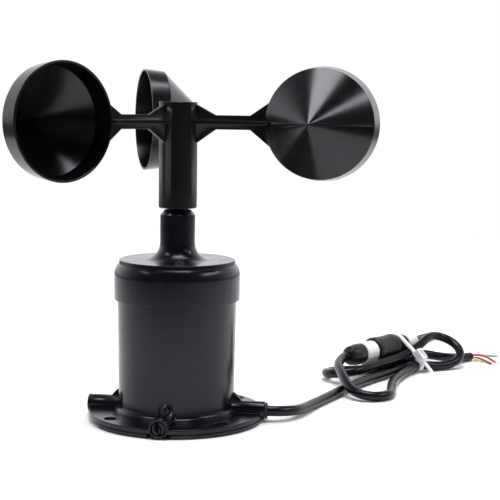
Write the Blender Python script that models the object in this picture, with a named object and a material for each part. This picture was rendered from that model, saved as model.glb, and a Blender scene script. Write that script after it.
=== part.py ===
"""Three-cup anemometer: cup rotor on a ball-bearing spindle, sensor housing, base and tied cable.

Frame: metres, +Z up along the rotor axis, origin at the centre of the base underside.
The cable outlet boss points along +X and the slotted front boss along -Y.
Lengths below are written in millimetres and turned into metres once, when a mesh is made.
"""
import math

import bmesh
import bpy
from mathutils import Matrix, Vector

MM = 0.001
GAP = 0.3

# Base and housing
FLANGE_R = 40.0
FLANGE_TOP = 4.25
FLANGE_BOTTOM = 2.2
PLATE_TOP = FLANGE_BOTTOM - GAP
HOLE_CIRCLE_R = 35.0
HOLE_R = 2.75
BODY_FOOT_R = 26.3
BODY_TOP_R = 26.85
BODY_BORE_R = 24.4
BODY_TOP_Z = 66.0
FOOT_RING_R = 28.0
FOOT_RING_Z = 7.0
BOSS_Z = 4.8
BOSS_R = 4.2
BOSS_END = 41.0
BOSS_BORE_R = 3.0
RIB_THICK = 1.6
POST_CIRCLE_R = 21.4
POST_R = 3.4
POST_TOP = 51.7
POST_ANGLES = (30.0, 150.0, 270.0)

# Top cover with its bearing neck
SKIRT_Z = 55.0
SKIRT_R = 28.45
SKIRT_BORE_R = 27.2
SHOULDER_Z = 66.9
DISC_Z = 73.0
DISC_R = 26.1
NECK_R = 7.85
NECK_TOP = 95.4
NECK_TIP_R = 6.15
FLARE_R = 7.6
SEAT_R = 5.8
LOWER_BEARING_Z = 74.2
UPPER_BEARING_Z = 90.2
BEARING_H = 4.0
BEARING_R = 5.5
SHAFT_R = 2.0

# Rotor
ROTOR_ANGLE = -7.0
HUB_R = 8.55
HUB_BOTTOM = 96.3
HUB_TOP = 143.65
ARM_Z = 134.85
ARM_HALF_H = 3.15
WEB_THICK = 1.9
RIB_HALF_H = 0.8
CUP_CIRCLE_R = 65.25
CUP_RIM_R = 25.0
CUP_BAND_R = 24.0
CUP_BAND = 9.3
CUP_CONE = 24.3
CUP_WALL = 1.0
CUP_FORWARD = 3.6

# Cable, in-line connector and tie
CABLE_R = 2.4
CONNECTOR_CENTRE = Vector((90.5, 116.4, 12.6))
CONNECTOR_ANGLE = 54.0
HANK_CENTRE = Vector((95.9, 104.2, 0.0))
HANK_ANGLE = 60.5
HANK_TOP = 9.8
TIE_WIDTH = 3.0
TIE_THICK = 1.0
TIE_S = 19.0
TIE_HEAD = (-6.4, 9.6, 0.0)
TIE_LEAN = 136.0
LEAD_ROUTE = ((42.4, 0.2, 4.8), (45.5, 0.6, 4.8), (50.0, 4.4, 4.3), (53.6, 11.4, 3.5), (57.3, 20.5, 2.7),
              (61.8, 31.0, 2.5), (65.5, 39.6, 2.5), (68.2, 46.4, 2.5))
TAIL_ROUTE = ((133.2, 148.9, 3.1), (136.3, 152.0, 2.7), (139.3, 155.2, 2.5))
WIRE_ROUTES = {
    "wire_green": ((140.2, 156.6, 3.4), (145.5, 158.0, 3.2), (148.4, 159.9, 2.4), (154.6, 164.6, 1.6)),
    "wire_red": ((140.9, 155.4, 3.4), (145.5, 156.2, 3.1), (149.3, 154.2, 2.4), (151.6, 151.4, 1.4),
                 (153.7, 149.5, 1.0), (155.4, 145.8, 0.8)),
    "wire_brown": ((140.2, 156.6, 1.6), (143.3, 157.3, 1.6), (146.3, 153.9, 1.2), (148.5, 150.4, 0.9),
                   (151.0, 144.9, 0.8)),
    "wire_yellow": ((140.9, 155.4, 1.6), (142.6, 154.6, 1.2), (144.4, 153.0, 0.9), (145.9, 150.9, 0.8)),
}
WIRE_COLOURS = {"wire_green": (0.05, 0.45, 0.3), "wire_red": (0.7, 0.05, 0.05),
                "wire_brown": (0.25, 0.08, 0.04), "wire_yellow": (0.8, 0.7, 0.3)}
WIRE_R = 0.6
WAIST_CIRCLES = ((-4.7, 4.2, 2.5), (0.5, 9.7, 2.5), (5.2, 4.4, 2.5))
BARREL_CIRCLE = (9.45, 12.6, 5.9)
ROUND = 40
FINE = 28


# Materials ---------------------------------------------------------------------------------------

MATERIALS = {}


def material(name, colour, roughness, metallic=0.0):
    """A plain Principled material, made once for each name."""
    if name not in MATERIALS:
        mat = bpy.data.materials.new(name)
        mat.use_nodes = True
        shader = mat.node_tree.nodes["Principled BSDF"]
        shader.inputs["Base Color"].default_value = (*colour, 1.0)
        shader.inputs["Roughness"].default_value = roughness
        shader.inputs["Metallic"].default_value = metallic
        MATERIALS[name] = mat
    return MATERIALS[name]


def black_plastic():
    return material("black_plastic", (0.012, 0.012, 0.014), 0.25)


def black_rubber():
    return material("black_rubber", (0.015, 0.015, 0.015), 0.6)


def steel():
    return material("steel", (0.6, 0.6, 0.6), 0.3, 1.0)


def brass():
    return material("brass", (0.75, 0.55, 0.25), 0.35, 1.0)


def board_green():
    return material("board_green", (0.02, 0.18, 0.07), 0.5)


def chip_black():
    return material("chip_black", (0.02, 0.02, 0.02), 0.7)


def magnet_grey():
    return material("magnet_grey", (0.18, 0.18, 0.2), 0.5, 0.3)


def label_white():
    return material("label_white", (0.85, 0.85, 0.85), 0.6)


def nylon():
    return material("nylon", (0.82, 0.82, 0.84), 0.4)


# Mesh helpers --------------------------------------------------------------------------------------

def clear_scene():
    for obj in list(bpy.data.objects):
        bpy.data.objects.remove(obj, do_unlink=True)


def new_object(name, bm, mat, matrix=Matrix.Identity(4)):
    """Turn a bmesh drawn in millimetres into a named, smooth-shaded object in metres."""
    bmesh.ops.recalc_face_normals(bm, faces=bm.faces)
    bmesh.ops.scale(bm, vec=(MM, MM, MM), verts=bm.verts)
    mesh = bpy.data.meshes.new(name)
    bm.to_mesh(mesh)
    bm.free()
    mesh.shade_smooth()
    mesh.set_sharp_from_angle(angle=math.radians(35.0))
    mesh.materials.append(mat)
    obj = bpy.data.objects.new(name, mesh)
    obj.matrix_world = matrix
    bpy.context.collection.objects.link(obj)
    return obj


def placed(location_mm, rotation=Matrix.Identity(4)):
    return Matrix.Translation(Vector(location_mm) * MM) @ rotation


def spin_outline(outline, steps, closed):
    """Spin an (r, z) outline a full turn about Z. An open outline starts and ends on the axis."""
    bm = bmesh.new()
    verts = [bm.verts.new((r, 0.0, z)) for r, z in outline]
    edges = [bm.edges.new(pair) for pair in zip(verts, verts[1:])]
    if closed:
        edges.append(bm.edges.new((verts[-1], verts[0])))
    bmesh.ops.spin(bm, geom=verts + edges, cent=(0, 0, 0), axis=(0, 0, 1), angle=math.tau, steps=steps)
    bmesh.ops.remove_doubles(bm, verts=bm.verts, dist=1e-4)
    return bm


def ring(name, outline, mat, steps=ROUND, matrix=Matrix.Identity(4)):
    return new_object(name, spin_outline(outline, steps, True), mat, matrix)


def turned(name, outline, mat, steps=ROUND, matrix=Matrix.Identity(4)):
    return new_object(name, spin_outline(outline, steps, False), mat, matrix)


def cylinder_outline(radius, low, high):
    return [(0.0, low), (radius, low), (radius, high), (0.0, high)]


def tube_outline(inner, outer, low, high):
    return [(inner, low), (outer, low), (outer, high), (inner, high)]


def arc(centre, radius, start_deg, end_deg, steps):
    """Points on a circle in the (r, z) plane, both ends included."""
    points = []
    for i in range(steps + 1):
        angle = math.radians(start_deg + (end_deg - start_deg) * i / steps)
        points.append((centre[0] + radius * math.cos(angle), centre[1] + radius * math.sin(angle)))
    return points


def prism_bmesh(outline, low, high):
    """Extrude a plane (x, y) outline from z = low to z = high."""
    bm = bmesh.new()
    face = bm.faces.new([bm.verts.new((x, y, low)) for x, y in outline])
    grown = bmesh.ops.extrude_face_region(bm, geom=[face])
    top = [item for item in grown["geom"] if isinstance(item, bmesh.types.BMVert)]
    bmesh.ops.translate(bm, vec=(0, 0, high - low), verts=top)
    return bm


def prism(name, outline, low, high, mat, matrix=Matrix.Identity(4)):
    return new_object(name, prism_bmesh(outline, low, high), mat, matrix)


def block(name, size, centre, mat, matrix=Matrix.Identity(4)):
    bm = bmesh.new()
    bmesh.ops.create_cube(bm, size=1.0)
    bmesh.ops.scale(bm, vec=size, verts=bm.verts)
    bmesh.ops.translate(bm, vec=centre, verts=bm.verts)
    return new_object(name, bm, mat, matrix)


def hide_operand(obj):
    obj.hide_render = True
    obj.display_type = "WIRE"


def combine(target, operand, operation):
    """Add a Boolean modifier and hide its operand."""
    hide_operand(operand)
    modifier = target.modifiers.new(operand.name, "BOOLEAN")
    modifier.operation = operation
    modifier.solver = "EXACT"
    modifier.object = operand


def cut(target, operand):
    combine(target, operand, "DIFFERENCE")


def fuse(target, operand):
    combine(target, operand, "UNION")


def about_z(degrees):
    return Matrix.Rotation(math.radians(degrees), 4, "Z")


def polar(radius, degrees, z=0.0):
    angle = math.radians(degrees)
    return (radius * math.cos(angle), radius * math.sin(angle), z)


def radial_frame(degrees):
    """Maps local (x, y, z) to (along the radius, up, across): used for prisms that stand on edge."""
    upright = Matrix(((1, 0, 0, 0), (0, 0, -1, 0), (0, 1, 0, 0), (0, 0, 0, 1)))
    return about_z(degrees) @ upright


def outward_frame(degrees, z):
    """Local +Z points outwards along the radius, at height z."""
    lay_down = Matrix.Rotation(math.radians(90.0), 4, "Y")
    return about_z(degrees) @ placed((0.0, 0.0, z)) @ lay_down


# Housing, base and closing parts ---------------------------------------------------------------------

def housing_outline():
    foot = arc((FOOT_RING_R + 0.4, FOOT_RING_Z), FOOT_RING_R + 0.4 - BODY_FOOT_R, 180.0, 250.0, 4)
    return ([(BODY_BORE_R, BODY_TOP_Z), (BODY_TOP_R - 0.5, BODY_TOP_Z), (BODY_TOP_R, BODY_TOP_Z - 0.5),
             (BODY_TOP_R, SKIRT_Z)] + foot
            + [(FOOT_RING_R, foot[-1][1]), (FOOT_RING_R, FLANGE_TOP), (FLANGE_R - 0.4, FLANGE_TOP),
               (FLANGE_R, FLANGE_TOP - 0.4), (FLANGE_R, FLANGE_BOTTOM), (BODY_BORE_R, FLANGE_BOTTOM)])


def boss_outline():
    return [(0.0, BODY_BORE_R + 0.6), (BOSS_R, BODY_BORE_R + 0.6), (BOSS_R, BOSS_END - 0.3),
            (BOSS_R - 0.3, BOSS_END), (0.0, BOSS_END)]


def make_housing():
    """Body tube, mounting flange, four bosses with their ribs and three inside posts, one moulding."""
    body = ring("housing", housing_outline(), black_plastic(), 48)
    for side in range(4):
        angle = 90.0 * side
        frame = outward_frame(angle, BOSS_Z)
        fuse(body, turned("operand_boss_%d" % side, boss_outline(), black_plastic(), FINE, frame))
        rib = [(BODY_BORE_R + 0.6, 7.5), (31.0, 7.5), (30.0, 9.2), (27.0, 12.6), (BODY_BORE_R + 0.6, 12.6)]
        fuse(body, prism("operand_rib_%d" % side, rib, -RIB_THICK / 2, RIB_THICK / 2, black_plastic(),
                         radial_frame(angle)))
    for index, angle in enumerate(POST_ANGLES):
        spot = placed(polar(POST_CIRCLE_R, angle))
        post = turned("operand_post_%d" % index, cylinder_outline(POST_R, FLANGE_BOTTOM, POST_TOP),
                      black_plastic(), 16, spot)
        fuse(body, post)
        for end, low, high in (("low", -1.0, 10.0), ("high", 43.0, 60.0)):
            pilot = turned("operand_pilot_%s_%d" % (end, index), cylinder_outline(1.35, low, high),
                           black_plastic(), 12, spot)
            cut(body, pilot)
    cut(body, turned("operand_cable_bore", cylinder_outline(BOSS_BORE_R, 20.0, 50.0), black_plastic(), 20,
                     outward_frame(0.0, BOSS_Z)))
    for side in (1, 2, 3):
        pocket = cylinder_outline(BOSS_BORE_R + 0.3, BOSS_END - 6.0, BOSS_END + 5.0)
        cut(body, turned("operand_pocket_%d" % side, pocket, black_plastic(), 20,
                         outward_frame(90.0 * side, BOSS_Z)))
    cut_mounting_holes(body, "housing")
    return body


def cut_mounting_holes(target, label):
    for index in range(4):
        spot = placed(polar(HOLE_CIRCLE_R, 45.0 + 90.0 * index))
        cut(target, turned("operand_hole_%s_%d" % (label, index), cylinder_outline(HOLE_R, -5.0, 15.0),
                           black_plastic(), 20, spot))


def make_bottom_plate():
    """Flat closing plate under the flange, cut away round the bosses and along the -X edge."""
    plate = turned("bottom_plate", cylinder_outline(FLANGE_R, 0.0, PLATE_TOP), black_plastic(), 48)
    for side in range(4):
        notch = block("operand_notch_%d" % side, (24.0, 2 * BOSS_R + 1.0, 10.0), (37.0, 0.0, 0.0),
                      black_plastic(), about_z(90.0 * side))
        cut(plate, notch)
    edge_cut = prism("operand_edge_cut", sector(37.0, 60.0, 138.0, 222.0), -5.0, 5.0, black_plastic())
    cut(plate, edge_cut)
    cut_mounting_holes(plate, "plate")
    for index, angle in enumerate(POST_ANGLES):
        spot = placed(polar(POST_CIRCLE_R, angle))
        sink = [(0.0, -3.0), (3.1, -3.0), (3.1, 0.9), (1.5, 1.6), (1.5, 6.0), (0.0, 6.0)]
        cut(plate, turned("operand_sink_%d" % index, sink, black_plastic(), 16, spot))
    return plate


def sector(inner, outer, start_deg, end_deg, steps=10):
    """Plane outline of a ring sector."""
    near = arc((0.0, 0.0), inner, start_deg, end_deg, steps)
    far = arc((0.0, 0.0), outer, end_deg, start_deg, steps)
    return near + far


def make_closing_screws():
    """Countersunk screws that hold the bottom plate to the posts."""
    for index, angle in enumerate(POST_ANGLES):
        outline = [(0.0, 0.2), (2.7, 0.2), (2.7, 0.6), (1.05, 1.35), (1.05, 8.5), (0.0, 9.0)]
        turned("plate_screw_%d" % (index + 1), outline, steel(), 16, placed(polar(POST_CIRCLE_R, angle)))


def make_cover_gasket():
    """Flat rubber ring between the body's top edge and the ledge in the top cover."""
    ring("cover_gasket", tube_outline(24.6, 26.2, BODY_TOP_Z + GAP, 67.8), black_rubber())


def make_port_plugs():
    """Slotted blanking plugs in the three bosses that carry no cable."""
    for side, name in ((1, "port_plug_rear"), (2, "port_plug_left"), (3, "port_plug_front")):
        outline = cylinder_outline(BOSS_BORE_R, BOSS_END - 5.7, BOSS_END - 0.4)
        frame = outward_frame(90.0 * side, BOSS_Z)
        plug = turned(name, outline, black_plastic(), 20, frame)
        tilt = Matrix.Rotation(math.radians(15.0), 4, "Z")
        cut(plug, block("operand_slot_%d" % side, (9.0, 1.2, 3.0), (0.0, 0.0, BOSS_END), black_plastic(),
                        frame @ tilt))


# Top cover, bearings and spindle -----------------------------------------------------------------------

def top_cover_outline():
    shoulder = arc((SKIRT_R - 5.6, SHOULDER_Z), 5.6, 0.0, 54.0, 4)
    shoulder = [(r, z) for r, z in shoulder[:-1]] + [(DISC_R + 0.1, DISC_Z - 0.6)]
    flare = arc((NECK_R + FLARE_R, DISC_Z + FLARE_R), FLARE_R, 270.0, 180.0, 6)
    outside = ([(SKIRT_BORE_R, SKIRT_Z), (SKIRT_R - 0.1, SKIRT_Z)] + shoulder
               + [(DISC_R, DISC_Z)] + flare
               + [(NECK_R - 0.05, 93.2), (NECK_TIP_R, NECK_TOP)])
    seat_low = LOWER_BEARING_Z + BEARING_H + GAP
    seat_high = UPPER_BEARING_Z - GAP
    inside = [(SEAT_R, NECK_TOP), (SEAT_R, seat_high), (4.5, seat_high), (4.5, seat_low), (SEAT_R, seat_low),
              (SEAT_R, 68.6), (8.6, 68.6), (8.6, 71.0), (24.2, 71.0), (24.2, 68.1), (26.4, 68.1),
              (SKIRT_BORE_R, 66.6)]
    return outside + inside


def make_top_cover():
    return ring("top_cover", top_cover_outline(), black_plastic(), 48)


def make_bearing(prefix, low):
    """One shielded ball bearing as its two rings."""
    high = low + BEARING_H
    outer = [(BEARING_R, low), (BEARING_R, high), (3.75, high), (3.75, high - 0.5), (4.5, high - 0.5),
             (4.5, low + 0.5), (3.75, low + 0.5), (3.75, low)]
    ring(prefix + "_outer_ring", outer, steel(), FINE)
    ring(prefix + "_inner_ring", tube_outline(SHAFT_R + GAP, 3.4, low, high), steel(), FINE)


def make_spindle():
    """Shaft with the pieces that turn on it below the hub."""
    turned("rotor_shaft", [(0.0, 60.9), (SHAFT_R - 0.3, 60.9), (SHAFT_R, 61.2), (SHAFT_R, 119.7),
                           (SHAFT_R - 0.3, 120.0), (0.0, 120.0)], steel(), 20)
    spacer_low = LOWER_BEARING_Z + BEARING_H + GAP
    ring("bearing_spacer", tube_outline(SHAFT_R + GAP, 3.2, spacer_low, UPPER_BEARING_Z - GAP), brass(), 20)
    ring("retaining_ring", tube_outline(SHAFT_R + GAP, 3.9, LOWER_BEARING_Z - GAP - 0.8,
                                        LOWER_BEARING_Z - GAP), steel(), 20)
    carrier = [(SHAFT_R + GAP, 61.2), (9.6, 61.2), (9.6, 63.2), (4.6, 63.2), (4.6, 68.0),
               (SHAFT_R + GAP, 68.0)]
    ring("magnet_carrier", carrier, black_plastic(), FINE)
    ring("ring_magnet", tube_outline(5.2, 9.4, 57.7, 60.6), magnet_grey(), FINE)


# Rotor -----------------------------------------------------------------------------------------------

def hub_outline():
    """Hub shell: stepped bore from below for the insert, open pocket at the top for the screw and cap."""
    return [(4.3, HUB_BOTTOM), (HUB_R - 0.6, HUB_BOTTOM), (HUB_R, HUB_BOTTOM + 0.5), (HUB_R, HUB_TOP - 0.4),
            (HUB_R - 0.4, HUB_TOP), (7.4, HUB_TOP), (7.4, HUB_TOP - 2.4), (5.4, HUB_TOP - 2.4),
            (5.4, 124.0), (1.8, 124.0), (1.8, 121.0), (4.3, 121.0)]


def web_outline():
    """Upright web of an arm as (radius, height): gussets at the hub and at the cup."""
    low = ARM_Z - ARM_HALF_H
    high = ARM_Z + ARM_HALF_H
    return [(7.9, 142.9), (8.7, 142.6), (17.5, high), (33.3, high), (43.4, 144.8), (46.0, 144.8),
            (46.0, 123.6), (43.4, 123.6), (33.3, low), (17.5, low), (8.7, 125.5), (7.9, 125.1)]


def rib_outline():
    """Level rib of an arm as (radius, across); +across is the side that the cups open to."""
    return [(6.5, -4.1), (6.5, 4.1), (9.0, 4.1), (17.5, 2.3), (33.3, 2.3), (37.5, 3.2), (45.3, 3.2),
            (45.3, -9.2), (43.0, -8.6), (33.3, -2.3), (17.5, -2.3), (9.0, -4.1)]


def cup_outline():
    """Closed (radius, depth) outline of a cup: rim at depth 0, band, then the cone."""
    tip = CUP_BAND + CUP_CONE
    slope = CUP_WALL * math.sqrt(2.0)
    return [(0.0, tip), (0.7, tip - 0.3), (CUP_BAND_R - 0.5, CUP_BAND + 0.5), (CUP_BAND_R, CUP_BAND - 0.4),
            (CUP_RIM_R, 0.0), (CUP_RIM_R - CUP_WALL, 0.0), (CUP_BAND_R - CUP_WALL, CUP_BAND),
            (0.0, tip - slope)]


def cup_frame(angle, extra=0.0):
    """Local +Z runs from the rim plane to the tip of the cone, against the way the cup opens."""
    to_tip = about_z(angle) @ Matrix.Rotation(math.radians(90.0), 4, "X")
    centre = placed((CUP_CIRCLE_R, CUP_FORWARD + extra, 0.0))
    return placed((0.0, 0.0, ARM_Z)) @ about_z(angle) @ centre @ about_z(-angle) @ to_tip


def clearance_cup(name, angle):
    """Solid form of a cup, grown by the gap, that trims the arm end."""
    tip = CUP_BAND + CUP_CONE + 0.6
    grow = GAP
    outline = [(0.0, tip), (CUP_BAND_R + grow, CUP_BAND + grow), (CUP_RIM_R + grow, 0.0),
               (CUP_RIM_R + grow, -6.0), (0.0, -6.0)]
    return turned(name, outline, black_plastic(), ROUND, cup_frame(angle))


def make_rotor():
    """Hub with three arms as one moulding, and three cups bonded to the arm ends."""
    hub = ring("rotor_hub", hub_outline(), black_plastic(), 32)
    angles = [ROTOR_ANGLE + 120.0 * index for index in range(3)]
    for index, angle in enumerate(angles):
        web = prism("operand_web_%d" % index, web_outline(), -WEB_THICK / 2, WEB_THICK / 2,
                    black_plastic(), radial_frame(angle))
        rib = prism("operand_level_rib_%d" % index, rib_outline(), ARM_Z - RIB_HALF_H, ARM_Z + RIB_HALF_H,
                    black_plastic(), about_z(angle))
        fuse(hub, web)
        fuse(hub, rib)
    for index, angle in enumerate(angles):
        cut(hub, clearance_cup("operand_cup_%d" % index, angle))
        turned("cup_%d" % (index + 1), cup_outline(), black_plastic(), ROUND, cup_frame(angle))
    insert = tube_outline(SHAFT_R + GAP, 4.0, UPPER_BEARING_Z + BEARING_H + GAP, 120.6)
    ring("hub_insert", insert, brass(), FINE)
    turned("hub_cap", cylinder_outline(7.1, HUB_TOP - 2.1, HUB_TOP - 0.2), black_plastic(), FINE)
    screw = [(0.0, 120.3), (1.4, 120.3), (1.4, 124.3), (2.9, 124.3), (2.9, 126.0), (2.2, 126.6), (0.0, 126.6)]
    turned("rotor_screw", screw, steel(), 16)


# Electronics -------------------------------------------------------------------------------------------

BOARD_LOW = POST_TOP + GAP
BOARD_HIGH = BOARD_LOW + 1.6


def make_board():
    """Round circuit board on the posts, with its screws and main components."""
    board = turned("circuit_board", cylinder_outline(23.9, BOARD_LOW, BOARD_HIGH), board_green(), 32)
    for index, angle in enumerate(POST_ANGLES):
        spot = placed(polar(POST_CIRCLE_R, angle))
        cut(board, turned("operand_board_hole_%d" % index, cylinder_outline(1.4, 40.0, 60.0), board_green(),
                          12, spot))
        top = BOARD_HIGH + GAP
        screw = [(0.0, POST_TOP - 7.0), (1.05, POST_TOP - 7.0), (1.05, top), (2.5, top), (2.5, top + 1.1),
                 (1.8, top + 1.7), (0.0, top + 1.7)]
        turned("board_screw_%d" % (index + 1), screw, steel(), 12, placed(polar(POST_CIRCLE_R, angle)))
    block("hall_sensor", (4.0, 3.0, 1.5), (7.3, 0.0, BOARD_HIGH + GAP + 0.75), chip_black())
    block("controller_chip", (7.0, 7.0, 1.0), (-6.0, -4.0, BOARD_HIGH + GAP + 0.5), chip_black())
    block("terminal_block", (14.0, 7.0, 8.0), (4.0, 8.0, BOARD_LOW - GAP - 4.0),
          material("terminal_green", (0.05, 0.3, 0.12), 0.5))


# Cable, connector and tie --------------------------------------------------------------------------------

def smooth_route(route, spacing):
    """Points of a Catmull-Rom curve through a short hand-chosen route, about one per spacing."""
    knots = [Vector(point) for point in route]
    padded = [knots[0] * 2 - knots[1]] + knots + [knots[-1] * 2 - knots[-2]]
    points = []
    for before, start, end, after in zip(padded, padded[1:], padded[2:], padded[3:]):
        count = max(1, round((end - start).length / spacing))
        for step in range(count):
            t = step / count
            points.append(0.5 * ((2 * start) + (end - before) * t
                                 + (2 * before - 5 * start + 4 * end - after) * t ** 2
                                 + (3 * start - before - 3 * end + after) * t ** 3))
    points.append(knots[-1])
    return points


def cord_tube(name, route, radius, mat, spacing=5.0, sides=2):
    """A round cord along a smooth route, closed at both ends."""
    curve = bpy.data.curves.new(name, "CURVE")
    curve.dimensions = "3D"
    curve.bevel_depth = radius * MM
    curve.bevel_resolution = sides
    curve.render_resolution_u = 0
    curve.use_fill_caps = True
    points = smooth_route(route, spacing)
    spline = curve.splines.new("POLY")
    spline.points.add(len(points) - 1)
    for slot, point in zip(spline.points, points):
        slot.co = (*(point * MM), 1.0)
    curve.materials.append(mat)
    obj = bpy.data.objects.new(name, curve)
    bpy.context.collection.objects.link(obj)
    return obj


def make_outlet():
    """Rubber grommet in the +X boss and the lead inside the housing."""
    sleeve = [(CABLE_R + GAP, 36.0), (BOSS_BORE_R - 0.05, 36.0), (BOSS_BORE_R - 0.05, BOSS_END + GAP),
              (3.8, BOSS_END + GAP), (3.8, BOSS_END + 1.0), (CABLE_R + GAP, BOSS_END + 1.0)]
    ring("cable_grommet", sleeve, black_rubber(), 20, outward_frame(0.0, BOSS_Z))
    inside = ((35.4, 0.0, BOSS_Z), (28.0, 0.0, BOSS_Z), (18.0, 0.5, 8.0), (12.0, 2.0, 18.0),
              (8.0, 5.0, 30.0), (5.0, 8.0, 43.2))
    cord_tube("inner_lead", inside, 2.0, black_rubber(), 6.0)


def connector_frame():
    """Local +Z along the connector axis, from the plug half to the socket half."""
    lay_down = Matrix.Rotation(math.radians(90.0), 4, "Y")
    return placed(CONNECTOR_CENTRE) @ about_z(CONNECTOR_ANGLE) @ lay_down


def make_connector():
    """In-line screw connector: plug half, socket half, coupling nut and two blank label wraps."""
    frame = connector_frame()
    plug = [(0.0, -32.0), (4.4, -32.0), (5.0, -31.0), (5.0, -26.5), (5.5, -26.0), (5.5, -9.4), (4.6, -9.4),
            (4.6, -0.3), (0.0, -0.3)]
    socket = [(0.0, 0.3), (5.2, 0.3), (5.2, 9.6), (5.75, 9.6), (5.75, 26.0), (5.0, 27.0), (5.0, 30.0),
              (4.4, 31.0), (0.0, 31.0)]
    nut = [(5.6, -8.8), (6.9, -8.8), (7.3, -8.0), (7.3, 8.0), (6.9, 8.8), (5.6, 8.8), (5.6, -0.1),
           (4.95, -0.5), (4.95, -2.4), (5.6, -2.8)]
    turned("connector_plug", plug, black_plastic(), 24, frame)
    turned("connector_socket", socket, black_plastic(), 24, frame)
    ring("coupling_nut", nut, black_plastic(), 24, frame)
    ring("label_wrap_plug", tube_outline(5.8, 6.2, -19.0, -9.6), label_white(), 24, frame)
    ring("label_wrap_socket", tube_outline(6.05, 6.45, 17.2, 25.2), label_white(), 24, frame)


def hank_point(along, across, height):
    """A place in the hank: along its axis, across it towards -Y, and above the ground."""
    angle = math.radians(HANK_ANGLE)
    forward = Vector((math.cos(angle), math.sin(angle), 0.0))
    sideways = Vector((math.sin(angle), -math.cos(angle), 0.0))
    return HANK_CENTRE + forward * along + sideways * across + Vector((0.0, 0.0, height))


def turn(a, b, c):
    return (b[0] - a[0]) * (c[1] - a[1]) - (b[1] - a[1]) * (c[0] - a[0])


def half_hull(ordered):
    chain = []
    for point in ordered:
        while len(chain) > 1 and turn(chain[-2], chain[-1], point) <= 1e-6:
            chain.pop()
        chain.append(point)
    return chain[:-1]


def convex_outline(circles, grow, steps=20):
    """Convex outline round a set of (x, y, radius) circles, each grown by the same amount."""
    points = []
    for x, y, radius in circles:
        points += arc((x, y), radius + grow, 0.0, 360.0 * (steps - 1) / steps, steps - 1)
    points = sorted(points)
    return half_hull(points) + half_hull(points[::-1])


def waist_frame():
    """Local x across the hank (+x away from -Y), y up, z along the hank, at the tie."""
    upright = Matrix(((0, 0, 1, 0), (1, 0, 0, 0), (0, 1, 0, 0), (0, 0, 0, 1)))
    return placed(hank_point(TIE_S, 0.0, 0.0)) @ about_z(HANK_ANGLE) @ upright


def make_hank():
    """Outer shape of the tied loops: two lobes joined by the waist that the tie holds."""
    flat = placed(HANK_CENTRE) @ about_z(HANK_ANGLE)
    near = convex_outline(((-45.5, -15.0, 12.8), (-22.0, 14.5, 13.2), (TIE_S - 11.5, 0.0, 8.0)), 0.0)
    far = convex_outline(((TIE_S + 11.0, 0.0, 7.5), (43.5, -9.0, 12.0), (51.0, 14.0, 12.5)), 0.0)
    hank = prism("cable_hank", near, 0.1, HANK_TOP, black_rubber(), flat)
    fuse(hank, prism("operand_far_lobe", far, 0.1, HANK_TOP, black_rubber(), flat))
    waist = convex_outline(WAIST_CIRCLES, 0.0)
    fuse(hank, prism("operand_waist", waist, -6.0, 6.0, black_rubber(), waist_frame()))
    trough = turned("operand_trough", cylinder_outline(7.9, -33.5, 60.0), black_rubber(), 20,
                    connector_frame())
    cut(hank, trough)


def make_tie():
    """Cable tie: strap round the waist and the connector, square head and short free tail."""
    frame = waist_frame()
    held = WAIST_CIRCLES + (BARREL_CIRCLE,)
    half = TIE_WIDTH / 2
    strap = prism("cable_tie", convex_outline(held, GAP + TIE_THICK), -half, half, nylon(), frame)
    hollow = prism("operand_strap_hollow", convex_outline(held, GAP), -half - 2.0, half + 2.0, nylon(), frame)
    cut(strap, hollow)
    lean = frame @ placed(TIE_HEAD) @ Matrix.Rotation(math.radians(TIE_LEAN), 4, "Z")
    fuse(strap, block("operand_tie_head", (4.6, 6.4, 5.0), (0.0, 0.0, 0.0), nylon(), lean))
    fuse(strap, block("operand_tie_tail", (1.1, 8.6, 2.6), (-0.4, 7.0, 0.0), nylon(), lean))


def make_cable():
    """Free lead, tied hank, tail with its bared conductors."""
    cord_tube("cable_lead", LEAD_ROUTE, CABLE_R, black_rubber())
    make_hank()
    cord_tube("cable_tail", TAIL_ROUTE, CABLE_R, black_rubber())
    for name, route in WIRE_ROUTES.items():
        colour = material(name, WIRE_COLOURS[name], 0.5)
        cord_tube(name, route, WIRE_R, colour, 3.0)


def main():
    clear_scene()
    make_housing()
    make_bottom_plate()
    make_closing_screws()
    make_port_plugs()
    make_cover_gasket()
    make_top_cover()
    make_bearing("upper_bearing", UPPER_BEARING_Z)
    make_bearing("lower_bearing", LOWER_BEARING_Z)
    make_spindle()
    make_rotor()
    make_board()
    make_outlet()
    make_connector()
    make_tie()
    make_cable()


main()
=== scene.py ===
"""Three-cup anemometer with its tied cable: the visible pieces, materials, lights and camera.

Lengths are written in millimetres in the object's frame and turned into metres when a piece is made.
"""

import math

import bmesh
import bpy
from mathutils import Matrix, Vector


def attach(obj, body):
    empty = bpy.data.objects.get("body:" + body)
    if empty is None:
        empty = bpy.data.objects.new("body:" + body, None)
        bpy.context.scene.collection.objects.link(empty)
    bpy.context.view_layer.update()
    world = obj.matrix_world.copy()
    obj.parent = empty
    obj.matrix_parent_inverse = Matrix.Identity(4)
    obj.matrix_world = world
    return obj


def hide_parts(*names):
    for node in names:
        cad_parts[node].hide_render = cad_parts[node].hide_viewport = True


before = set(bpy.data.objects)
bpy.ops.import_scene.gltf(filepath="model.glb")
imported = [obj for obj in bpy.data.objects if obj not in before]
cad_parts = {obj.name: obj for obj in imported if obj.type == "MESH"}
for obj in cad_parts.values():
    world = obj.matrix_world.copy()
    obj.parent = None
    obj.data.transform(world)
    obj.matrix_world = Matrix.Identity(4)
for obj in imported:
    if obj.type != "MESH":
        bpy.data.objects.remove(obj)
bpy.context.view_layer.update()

MM = 0.001
BASE, ROTOR, NUT = "base", "rotor", "nut"
IDENTITY = Matrix.Identity(4)
MERGE = 1e-3
FACET_ANGLE, BLOCK_ANGLE, CONE_ANGLE = 50.0, 40.0, 30.0

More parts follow.
